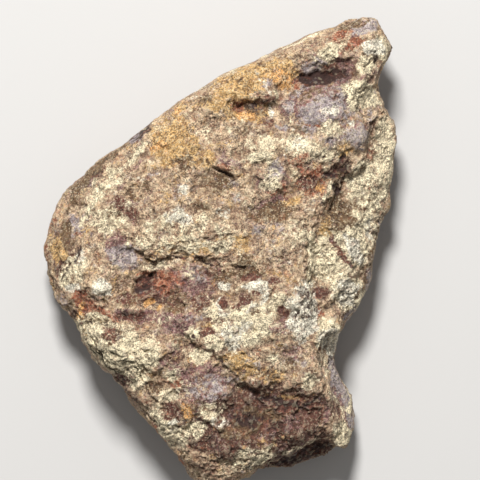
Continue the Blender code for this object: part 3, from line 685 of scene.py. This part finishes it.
class MeteoriteStage(bpy.types.PropertyGroup):
    """The table, the light and the camera."""

    table: colour("Table", "Colour of the plain table", srgb(190, 188, 185))
    camera_height: length("Camera height", "Height of the lens over the table", 1.2)
    view_width: length("View width", "Width of the picture at the stone's rim", 0.096)
    key_power: FloatProperty(name="Key light", description="Power of the main light",
                             default=15.4, min=0.0, unit="POWER")
    room_light: FloatProperty(name="Room light", description="Strength of the even light",
                              default=0.28, min=0.0)


def smooth_step(t):
    t = np.clip(t, 0.0, 1.0)
    return t * t * (3.0 - 2.0 * t)


def read_points(mesh):
    """The mesh's points, in millimetres."""
    points = np.empty(len(mesh.vertices) * 3, np.float32)
    mesh.vertices.foreach_get("co", points)
    return points.reshape(-1, 3).astype(np.float64) / MM


def write_points(mesh, points):
    mesh.vertices.foreach_set("co", (points * MM).astype(np.float32).ravel())
    mesh.update()


def read_normals(mesh):
    normals = np.empty(len(mesh.vertices) * 3, np.float32)
    mesh.vertex_normals.foreach_get("vector", normals)
    return normals.reshape(-1, 3).astype(np.float64)


def neighbour_average(mesh):
    """A function that gives each point the mean of its neighbours' values."""
    ends = np.empty(len(mesh.edges) * 2, np.int32)
    mesh.edges.foreach_get("vertices", ends)
    a, b = ends.reshape(-1, 2).T
    count = len(mesh.vertices)
    degree = np.bincount(a, minlength=count) + np.bincount(b, minlength=count)

    def average(values):
        total = np.bincount(a, values[b], count) + np.bincount(b, values[a], count)
        return total / np.maximum(degree, 1)

    return average


def face_places(points):
    """x and y of each point in the face's own drawing."""
    return points[:, 0] - FACE_MIDDLE[0], points[:, 1] - FACE_MIDDLE[1]


def from_line(x, y, line):
    """(distance to a line, share of the way along it)."""
    nearest = np.full(x.shape, np.inf)
    along = np.zeros(x.shape)
    walked = 0.0
    for (ax, ay), (bx, by) in zip(line, line[1:]):
        run_x, run_y = bx - ax, by - ay
        span = math.hypot(run_x, run_y)
        t = np.clip(((x - ax) * run_x + (y - ay) * run_y) / span ** 2, 0.0, 1.0)
        distance = np.hypot(x - ax - t * run_x, y - ay - t * run_y)
        closer = distance < nearest
        nearest = np.where(closer, distance, nearest)
        along = np.where(closer, walked + t * span, along)
        walked += span
    return nearest, along / walked


def stroke(x, y, line, width):
    """A soft line, 1 along its middle and thinner at its ends."""
    distance, along = from_line(x, y, line)
    taper = 0.35 + 0.65 * np.sin(math.pi * along) ** 0.5
    return np.exp(-(distance / (width * taper)) ** 2)


def spot(x, y, centre_x, centre_y, half_width, half_height, strength, turn=0):
    """A soft ellipse: full in its middle, under half as strong at its half sizes, and
    nothing at one and a half times them."""
    cos, sin = math.cos(math.radians(turn)), math.sin(math.radians(turn))
    dx, dy = x - centre_x, y - centre_y
    across = (dx * cos + dy * sin) / half_width
    up = (dy * cos - dx * sin) / half_height
    return strength * smooth_step((1.5 - np.hypot(across, up)) / 1.1)


def ragged(points, size, shift):
    """x and y of the drawing, pushed about by noise so that no edge runs smooth."""
    x, y = face_places(points)
    start = Vector((shift, 0.0, 0.0))
    pushes = np.array([noise.turbulence_vector(Vector(point) / size + start, 3, False)[:2]
                       for point in points])
    return x + RAGGED * pushes[:, 0], y + RAGGED * pushes[:, 1]


def select_only(stone):
    bpy.ops.object.select_all(action="DESELECT")
    stone.select_set(True)
    bpy.context.view_layer.objects.active = stone


def apply_modifier(stone, kind, **settings):
    modifier = stone.modifiers.new(kind.title(), kind)
    for name, value in settings.items():
        setattr(modifier, name, value)
    select_only(stone)
    bpy.ops.object.modifier_apply(modifier=modifier.name)


def copy_of_node(name, new_name):
    """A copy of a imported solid, its loose triangles merged."""
    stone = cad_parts[name].copy()
    stone.data = stone.data.copy()
    stone.name = stone.data.name = new_name
    stone.parent = None
    for key in list(stone.keys()):
        del stone[key]
    bpy.context.scene.collection.objects.link(stone)
    select_only(stone)
    bpy.ops.object.mode_set(mode="EDIT")
    bpy.ops.mesh.select_all(action="SELECT")
    bpy.ops.mesh.remove_doubles(threshold=0.01 * MM)
    bpy.ops.object.mode_set(mode="OBJECT")
    stone.data.materials.clear()
    return stone


def refine_face(stone):
    """Cuts the faces that look up into four, so that the broken face has the finest grid."""
    mesh = stone.data
    normals = np.empty(len(mesh.polygons) * 3, np.float32)
    mesh.polygons.foreach_get("normal", normals)
    picked = normals.reshape(-1, 3)[:, 2] > FACE_LEAN
    bpy.ops.object.mode_set(mode="EDIT")
    bpy.ops.mesh.select_mode(type="FACE")
    bpy.ops.mesh.select_all(action="DESELECT")
    bpy.ops.object.mode_set(mode="OBJECT")
    mesh.polygons.foreach_set("select", picked)
    bpy.ops.object.mode_set(mode="EDIT")
    bpy.ops.mesh.subdivide(number_cuts=1, smoothness=0.0)
    bpy.ops.object.mode_set(mode="OBJECT")


def carve(stone):
    """Cuts the face's cracks and pits, and raises its ridges and grains, straight up and
    down. A crack's depth varies along it."""
    mesh = stone.data
    points = read_points(mesh)
    facing = smooth_step(read_normals(mesh)[:, 2] / 0.5)
    x, y = ragged(points, size=2.0, shift=3.0)
    rise = np.zeros(len(points))
    for _, line, depth, width in CRACKS:
        rise -= depth * stroke(x, y, line, width)
    rise *= 0.5 + 0.6 * np.array([noise.noise(Vector(point) / 1.7) for point in points])
    for _, line, height, width in RIDGES:
        rise += height * stroke(x, y, line, width)
    for _, *ellipse in SPOTS:
        rise += spot(x, y, *ellipse)
    points[:, 2] += rise * facing
    write_points(mesh, points)


def roughness_share(points, normals):
    """How much of the broken relief each point has: less on the sides and worn edges."""
    x, y = face_places(points)
    share = ROUGH_ON_SIDES + (1.0 - ROUGH_ON_SIDES) * smooth_step((normals[:, 2] - 0.05) / 0.6)
    for line, reach in WORN_EDGES:
        distance, _ = from_line(x, y, line)
        share *= ROUGH_ON_WORN + (1.0 - ROUGH_ON_WORN) * smooth_step(distance / reach)
    for ellipse in SMOOTH:
        share *= 1.0 - spot(x, y, *ellipse)
    return share


def break_into_ledges(stone, relief):
    """Steps the surface up and down in shallow ledges, longer across than up."""
    mesh = stone.data
    points = read_points(mesh)
    normals = read_normals(mesh)
    size = relief.ledge_size / MM
    stretch = Vector((LEDGE_STRETCH / size, 1.0 / size, 1.0 / size))
    level = np.array([noise.fractal(Vector(point) * stretch, 1.0, 2.1, 4)
                      for point in points]) * LEDGES
    riser = smooth_step(((level % 1.0) - 0.5) / LEDGE_RISER + 0.5)
    rise = (np.floor(level) + riser) * relief.ledge_height / MM
    rise *= roughness_share(points, normals)
    write_points(mesh, points + normals * rise[:, None])


def break_into_facets(stone, size, height):
    """Breaks the surface into small flat facets, each tilted its own way."""
    mesh = stone.data
    points = read_points(mesh)
    normals = read_normals(mesh)
    rise = np.empty(len(points))
    for index, point in enumerate(points):
        place = Vector(point) / size
        place += FACET_BEND * noise.turbulence_vector(place * 2.0, 2, False)
        centre = noise.voronoi(place)[1][0]
        # Centres this far apart fall in different cells, so each facet gets its own tilt
        tilt = noise.cell_vector(centre * 40.0) - Vector((0.5, 0.5, 0.5))
        rise[index] = (place - centre).dot(tilt)
    rise *= 2.0 * height * roughness_share(points, normals)
    write_points(mesh, points + normals * rise[:, None])


def noise_texture(name, kind, size, **settings):
    texture = bpy.data.textures.new(name, kind)
    texture.noise_scale = size
    for key, value in settings.items():
        setattr(texture, key, value)
    return texture


def roughen(stone, relief):
    """Lumps, chips and grains, each a layer of noise pushed out along the surface."""
    layers = (
        (noise_texture("lumps", "CLOUDS", relief.lump_size, noise_depth=2), relief.lump_height),
        (noise_texture("chips", "VORONOI", relief.chip_size, weight_1=-1.0, weight_2=1.0,
                       noise_intensity=1.2), relief.chip_height),
        (noise_texture("grains", "VORONOI", relief.grain_size, weight_1=1.0),
         -relief.grain_height),
    )
    group = stone.vertex_groups.new(name=ROUGH_GROUP)
    share = roughness_share(read_points(stone.data), read_normals(stone.data))
    share = np.round(share * ROUGH_LEVELS).astype(int)
    for level in range(ROUGH_LEVELS + 1):
        group.add(np.flatnonzero(share == level).tolist(), level / ROUGH_LEVELS, "REPLACE")
    for texture, height in layers:
        apply_modifier(stone, "DISPLACE", texture=texture, strength=height, mid_level=0.4,
                       texture_coords="LOCAL", vertex_group=ROUGH_GROUP)


def lay_down(stone):
    """Keeps the stone on the table and inside its solid's box."""
    points = read_points(stone.data)
    low, high = (np.array(corner) / MM for corner in CAD_BOX)
    write_points(stone.data, np.clip(points, low, high))


def store(mesh, name, values):
    attribute = mesh.attributes.new(name, "FLOAT", "POINT")
    attribute.data.foreach_set("value", values.astype(np.float32))


def mark_relief(mesh):
    """Stores how far each point lies under or over the surface around it, -1 to 1."""
    points = read_points(mesh)
    average = neighbour_average(mesh)
    smooth = points
    for _ in range(RELIEF_STEPS):
        smooth = np.stack([average(smooth[:, axis]) for axis in range(3)], axis=1)
    height = ((points - smooth) * read_normals(mesh)).sum(axis=1) / RELIEF_HEIGHT
    store(mesh, "fine_relief", np.clip(height, -1.0, 1.0))


def weather(mesh):
    """Stores each finish's weight: its patches on the face, and its even share elsewhere."""
    points = read_points(mesh)
    face = smooth_step((read_normals(mesh)[:, 2] + 0.15) / 0.5)
    x, y = ragged(points, size=3.0, shift=7.0)
    painted = {}
    for name, _, _ in LAYERS:
        weight = np.zeros(len(points))
        for _, *ellipse in PATCHES.get(name, ()):
            weight = np.maximum(weight, spot(x, y, *ellipse))
        for _, line, width, strength in STREAKS.get(name, ()):
            weight = np.maximum(weight, strength * stroke(x, y, line, width))
        painted[name] = weight
    for name, on_face, elsewhere in LAYERS:
        others = np.max([painted[other] for other in painted if other != name], axis=0)
        weight = np.maximum(painted[name], on_face * (1.0 - GIVE_WAY * others))
        store(mesh, name, weight * face + elsewhere * (1.0 - face))


class Shade:
    """One socket of a material. Arithmetic on it adds the Math nodes."""

    def __init__(self, tree, socket=None):
        self.tree = tree
        self.socket = socket

    def node(self, kind, settings=None, inputs=None, output=0):
        """Adds a node, and gives the socket that it puts out."""
        made = self.tree.nodes.new(kind)
        for name, value in (settings or {}).items():
            setattr(made, name, value)
        for key, value in (inputs or {}).items():
            if isinstance(value, Shade):
                self.tree.links.new(value.socket, made.inputs[key])
            else:
                made.inputs[key].default_value = value
        return Shade(self.tree, made.outputs[output])

    def maths(self, operation, *values):
        return self.node("ShaderNodeMath", {"operation": operation}, dict(enumerate(values)))

    def __add__(self, other):
        return self.maths("ADD", self, other)

    def __sub__(self, other):
        return self.maths("SUBTRACT", self, other)

    def __mul__(self, other):
        return self.maths("MULTIPLY", self, other)

    def __rsub__(self, other):
        return self.maths("SUBTRACT", other, self)

    __radd__ = __add__
    __rmul__ = __mul__

    def step(self, low, high):
        """0 below low, 1 above high and an S between."""
        return self.node("ShaderNodeMapRange", {"interpolation_type": "SMOOTHSTEP"},
                         {"Value": self, "From Min": low, "From Max": high})

    def mixed(self, paint, share):
        """This colour with a colour of the palette laid over it."""
        return self.node("ShaderNodeMix", {"data_type": "RGBA"},
                         {0: share, 6: self, 7: opaque(paint)}, output=2)

    def vector(self, operation, other, output=0):
        """Vector Math on this and another value."""
        key = "Scale" if operation == "SCALE" else 1
        return self.node("ShaderNodeVectorMath", {"operation": operation},
                         {0: self, key: other}, output)

    def other_output(self, number):
        """Another output of the node that this one comes from."""
        return Shade(self.tree, self.socket.node.outputs[number])

    def feed(self, shader, name):
        self.tree.links.new(self.socket, shader.inputs[name])


def opaque(colour):
    return (*colour, 1.0)


def crust_material(palette):
    """The weathered crust. Sizes are in millimetres, and each cloud and each set of cells
    has a shift of its own, so that no two of them lie alike."""
    material = bpy.data.materials.new(SLOT)
    material.use_nodes = True
    tree = material.node_tree
    shader = tree.nodes["Principled BSDF"]
    make = Shade(tree)
    place = make.node("ShaderNodeTexCoord", output=3).vector("SCALE", 1.0 / MM)

    def attribute(name):
        return make.node("ShaderNodeAttribute", {"attribute_name": name}, output=2)

    def cloud(size, detail, shift, output=0):
        moved = place.vector("ADD", (shift, shift * 0.7, shift * 1.3))
        return make.node("ShaderNodeTexNoise", {}, {"Vector": moved, "Scale": 1.0 / size,
                                                    "Detail": detail, "Roughness": 0.66}, output)

    def cells(size, bend, detail, shift):
        """(the place bent by a cloud, one random colour for each cell of the bent place)."""
        bent = make.node("ShaderNodeMix", {"data_type": "VECTOR"},
                         {0: bend, 4: place, 5: cloud(size, detail, shift, output=1)}, output=1)
        cell = make.node("ShaderNodeTexVoronoi", {}, {"Vector": bent, "Scale": 1.0 / size},
                         output=1)
        return bent, cell

    def grains(size):
        """Three random values for each mineral grain of a size."""
        _, cell = cells(size, 0.12, 1.0, 5.0)
        split = make.node("ShaderNodeSeparateColor", {}, {0: cell})
        return [split.other_output(channel) for channel in range(3)]

    def facets(size):
        """The height of small flat facets, each tilted its own way."""
        bent, cell = cells(size, 0.10, 2.0, 15.0)
        tilt = cell.vector("SUBTRACT", (0.5, 0.5, 0.5))
        away = bent.vector("SUBTRACT", cell.other_output(2))
        return away.vector("DOT_PRODUCT", tilt, output=1)

    # The ground, and the finishes over it, their edges broken up by grains and mottling
    tone = grains(0.5)
    ground = (cloud(2.6, 6.0, 3.0) - attribute("umber") * 0.16).step(0.3, 0.6)
    surface = make.node("ShaderNodeMix", {"data_type": "RGBA"},
                        {0: ground, 6: opaque(palette.loam), 7: opaque(palette.sand)}, output=2)
    for step, (name, _, _) in enumerate(LAYERS):
        mottle = cloud(3.2, 6.0, 11.0 + 7.0 * step)
        weight = attribute(name) + (tone[step % 3] - 0.5) * 0.3 + (mottle - 0.5) * 1.8
        surface = surface.mixed(getattr(palette, name), weight.step(0.36, 0.66))

    # Warm and cold flecks all over, a pepper of dark grains, and light ones between them
    warm, cold = cloud(1.3, 5.0, 60.0), cloud(1.3, 5.0, 70.0)
    surface = surface.mixed(palette.rust, warm.step(0.50, 0.70) * 0.45)
    surface = surface.mixed(palette.slate, cold.step(0.54, 0.75) * 0.5)
    dark, light = cloud(0.32, 2.0, 80.0), cloud(1.1, 5.0, 95.0)
    patchy = 0.54 + cloud(4.0, 3.0, 120.0).step(0.40, 0.60) * 0.32 - attribute("slate") * 0.12
    pepper = (1.0 - dark.step(0.42, 0.54)) * patchy
    surface = surface.mixed(palette.bister, pepper * (0.42 - attribute("black_and_shadow") * 0.45))
    surface = surface.vector("SCALE", 1.03 - pepper * 0.92 + light.step(0.35, 0.65) * 0.24)
    # Sparse pale specks, pale grains and painted glints of light both, fewer on the dark finishes
    plain = 0.58 - attribute("umber") * 0.40 - attribute("black_and_shadow") * 0.55
    speck = cloud(0.36, 1.0, 130.0).step(0.58, 0.68) * plain
    surface = surface.mixed(palette.cream, speck)

    # Painted shade and dirt in the hollows of the fine relief, and worn, paler crests
    depth = attribute("fine_relief")
    hollow = (0.0 - depth).step(0.0, 0.8)
    crest = depth.step(0.1, 0.9)
    surface = surface.mixed(palette.black_and_shadow, hollow * 0.4)
    surface = surface.mixed(palette.cream, crest * 0.15)
    surface.feed(shader, "Base Color")

    rough = 0.72 + cloud(0.8, 2.0, 90.0) * 0.25
    rough.feed(shader, "Roughness")
    height = cloud(0.30, 3.0, 40.0) * 0.36 + tone[2] * 0.2 + facets(0.62) * 0.7
    bump = make.node("ShaderNodeBump", {}, {"Strength": 1.0, "Distance": MM, "Height": height})
    bump.feed(shader, "Normal")
    return material


class METEORITE_OT_stone(bpy.types.Operator):
    """Model the fragment's broken surface over a copy of its solid, and weather it"""

    bl_idname = "meteorite.stone"
    bl_label = "Broken stone"
    bl_options = {"REGISTER", "UNDO"}

    def execute(self, context):
        relief = context.scene.meteorite_relief
        width, height = relief.facet_size / MM, relief.facet_height / MM
        noise.seed_set(NOISE_SEED)
        stone = copy_of_node(NODE, STONE)
        apply_modifier(stone, "REMESH", mode="VOXEL", voxel_size=GRID * MM)
        apply_modifier(stone, "SMOOTH", factor=MELT_FACTOR, iterations=MELT_STEPS)
        refine_face(stone)
        break_into_ledges(stone, relief)
        break_into_facets(stone, width, height)
        break_into_facets(stone, width * FINE_FACET_WIDTH, height * FINE_FACET_HEIGHT)
        carve(stone)
        roughen(stone, relief)
        lay_down(stone)
        mark_relief(stone.data)
        weather(stone.data)
        stone.data.materials.append(crust_material(context.scene.meteorite_palette))
        select_only(stone)
        bpy.ops.object.shade_smooth()
        if not stone.data.polygons:
            raise RuntimeError("the stone has no faces left")
        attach(stone, "root")
        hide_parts(NODE)
        return {"FINISHED"}


def add_key_light(power):
    """The main light, a soft disk over the upper edge, aimed at the stone."""
    bpy.ops.object.light_add(type="AREA", location=KEY_PLACE)
    light = bpy.context.object
    light.name = light.data.name = "key"
    light.data.shape = "DISK"
    light.data.size = KEY_WIDTH
    light.data.energy = power
    down = Vector(KEY_AIM) - Vector(KEY_PLACE)
    light.rotation_euler = down.to_track_quat("-Z", "Y").to_euler()


def plain_material(name, base, roughness):
    material = bpy.data.materials.new(name)
    material.use_nodes = True
    shader = material.node_tree.nodes["Principled BSDF"]
    shader.inputs["Base Color"].default_value = opaque(base)
    shader.inputs["Roughness"].default_value = roughness
    return material


class METEORITE_OT_stage(bpy.types.Operator):
    """Lay the table, hang the soft light and set the camera straight above the stone"""

    bl_idname = "meteorite.stage"
    bl_label = "Table, light and camera"
    bl_options = {"REGISTER", "UNDO"}

    def execute(self, context):
        scene = context.scene
        stage = scene.meteorite_stage
        bpy.ops.object.select_all(action="DESELECT")
        bpy.ops.mesh.primitive_plane_add(size=TABLE_WIDTH, location=(0.0, 0.0, 0.0))
        table = context.object
        table.name = table.data.name = "table"
        table.data.materials.append(plain_material("pale_table", stage.table, 0.7))
        add_key_light(stage.key_power)
        world = bpy.data.worlds.new("room")
        world.use_nodes = True
        background = world.node_tree.nodes["Background"]
        background.inputs["Color"].default_value = (1.0, 1.0, 1.0, 1.0)
        background.inputs["Strength"].default_value = stage.room_light
        scene.world = world
        x, y = ((PICTURE_MIDDLE[axis] + FACE_MIDDLE[axis]) * MM for axis in range(2))
        bpy.ops.object.camera_add(location=(x, y, stage.camera_height),
                                  rotation=(0.0, 0.0, 0.0))
        camera = context.object
        distance = stage.camera_height - RIM_HEIGHT * MM
        camera.data.sensor_width = SENSOR_WIDTH
        camera.data.lens = SENSOR_WIDTH * distance / stage.view_width
        scene.camera = camera
        scene.view_settings.view_transform = "Standard"
        return {"FINISHED"}


class METEORITE_PT_panel(bpy.types.Panel):
    """The fragment's tools, in the sidebar"""

    bl_label = "Meteorite fragment"
    bl_space_type = "VIEW_3D"
    bl_region_type = "UI"
    bl_category = "Meteorite"

    def draw(self, context):
        column = self.layout.column()
        for group in ("meteorite_relief", "meteorite_palette", "meteorite_stage"):
            settings = getattr(context.scene, group)
            box = column.box()
            for name in settings.bl_rna.properties.keys():
                if name not in ("rna_type", "name"):
                    box.prop(settings, name)
        column.operator(METEORITE_OT_stone.bl_idname)
        column.operator(METEORITE_OT_stage.bl_idname)


CLASSES = (MeteoriteRelief, MeteoritePalette, MeteoriteStage, METEORITE_OT_stone,
           METEORITE_OT_stage, METEORITE_PT_panel)


def register():
    for cls in CLASSES:
        bpy.utils.register_class(cls)
    bpy.types.Scene.meteorite_relief = PointerProperty(type=MeteoriteRelief)
    bpy.types.Scene.meteorite_palette = PointerProperty(type=MeteoritePalette)
    bpy.types.Scene.meteorite_stage = PointerProperty(type=MeteoriteStage)


def unregister():
    del bpy.types.Scene.meteorite_stage
    del bpy.types.Scene.meteorite_palette
    del bpy.types.Scene.meteorite_relief
    for cls in reversed(CLASSES):
        bpy.utils.unregister_class(cls)


def main():
    register()
    bpy.ops.meteorite.stone()
    bpy.ops.meteorite.stage()


if __name__ == "__main__":
    main()
